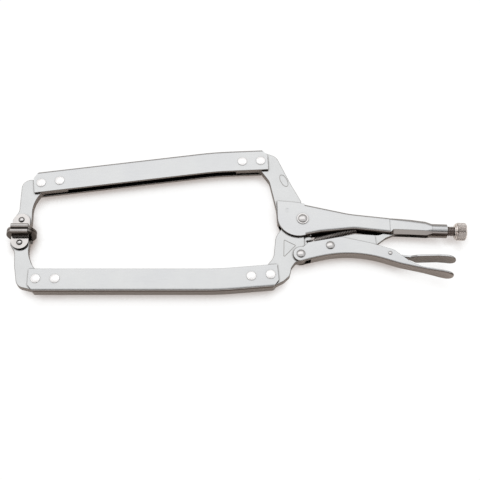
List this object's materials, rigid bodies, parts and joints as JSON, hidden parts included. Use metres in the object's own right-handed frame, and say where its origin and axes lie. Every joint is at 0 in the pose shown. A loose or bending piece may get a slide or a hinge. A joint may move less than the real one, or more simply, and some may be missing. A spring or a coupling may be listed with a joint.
{
  "type": "locking c clamp",
  "caption": "Long-reach toggle-locking C clamp with two U-channel arms, swivel pads, squeeze handles, a release lever and an adjusting screw.",
  "frame": {"origin": "centre of the fixed pad's face, on the middle plane of the thickness; the two pads are closed on each other there", "axes": "+X from the pads back to the handles, +Y from the moving pad towards the fixed pad, +Z through the thickness"},
  "size_m": [0.4607, 0.1584, 0.0298],
  "materials": {
    "plated_sheet": "satin",
    "plated_plate": "satin",
    "plated_pad": "satin",
    "rivet_steel": "polished",
    "screw_steel": "machined",
    "knurled_steel": "knurled",
    "spring_wire": "drawn wire"
  },
  "bodies": {
    "body": {"upper_handle_body": "plated_sheet", "fixed_jaw": "plated_plate", "fixed_arm": "plated_sheet", "fixed_jaw_tip": "plated_plate", "fixed_arm_rivets_front": "rivet_steel", "fixed_arm_rivets_rear": "rivet_steel", "main_pivot_rivet": "rivet_steel", "tension_spring": "spring_wire"},
    "moving_jaw": {"moving_jaw": "plated_plate", "moving_arm": "plated_sheet", "moving_jaw_tip": "plated_plate", "moving_arm_rivets_front": "rivet_steel", "moving_arm_rivets_rear": "rivet_steel"},
    "lower_handle": {"lower_handle": "plated_sheet", "handle_pivot_rivet": "rivet_steel", "link_pivot_rivet": "rivet_steel", "release_lever_pin": "rivet_steel"},
    "toggle_link": {"toggle_link": "plated_plate"},
    "release_lever": {"release_lever": "plated_sheet"},
    "fixed_pad": {"fixed_swivel_pad": "plated_pad", "fixed_pad_rivet": "rivet_steel"},
    "moving_pad": {"moving_swivel_pad": "plated_pad", "moving_pad_rivet": "rivet_steel"},
    "screw": {"adjusting_screw": "screw_steel"},
    "knob": {"adjusting_knob": "knurled_steel"}
  },
  "joints": [
    {"name": "jaw_swing", "type": "hinge", "parent": "body", "child": "moving_jaw", "pos_m": [0.28171, 0.01363, 0], "axis": [0, 0, 1], "range_deg": [0, 22], "deforming": ["tension_spring"]},
    {"name": "handle_swing", "type": "hinge", "parent": "moving_jaw", "child": "lower_handle", "pos_m": [0.27901, -0.02467, 0], "axis": [0, 0, 1], "range_deg": [-81.41, 0]},
    {"name": "link_swing", "type": "hinge", "parent": "lower_handle", "child": "toggle_link", "pos_m": [0.30831, -0.01557, 0], "axis": [0, 0, 1], "range_deg": [0, 81.41]},
    {"name": "lever_press", "type": "hinge", "parent": "lower_handle", "child": "release_lever", "pos_m": [0.36721, -0.02397, 0], "axis": [0, 0, 1], "range_deg": [-7, 0]},
    {"name": "fixed_pad_swivel", "type": "hinge", "parent": "body", "child": "fixed_pad", "pos_m": [0, 0.0122, 0], "axis": [0, 0, 1], "range_deg": [-12, 12]},
    {"name": "moving_pad_swivel", "type": "hinge", "parent": "moving_jaw", "child": "moving_pad", "pos_m": [0, -0.0125, 0], "axis": [0, 0, 1], "range_deg": [-12, 12]},
    {"name": "screw_feed", "type": "slide", "parent": "body", "child": "screw", "axis": [0.9994, -0.0349, 0], "range_m": [0, 0.018]},
    {"name": "knob_turn", "type": "hinge", "parent": "screw", "child": "knob", "pos_m": [0.43348, 0.00234, 0], "axis": [0.9994, -0.0349, 0], "range_deg": [0, 4320.1]}
  ],
  "couplings": [
    {"joint": "handle_swing", "follows": "jaw_swing", "ratio": -3.7},
    {"joint": "link_swing", "follows": "jaw_swing", "ratio": 3.7},
    {"joint": "fixed_pad_swivel", "follows": "jaw_swing", "ratio": 0.5},
    {"joint": "moving_pad_swivel", "follows": "jaw_swing", "ratio": -0.5},
    {"joint": "knob_turn", "follows": "screw_feed", "rad_per_m": 4188.8}
  ]
}
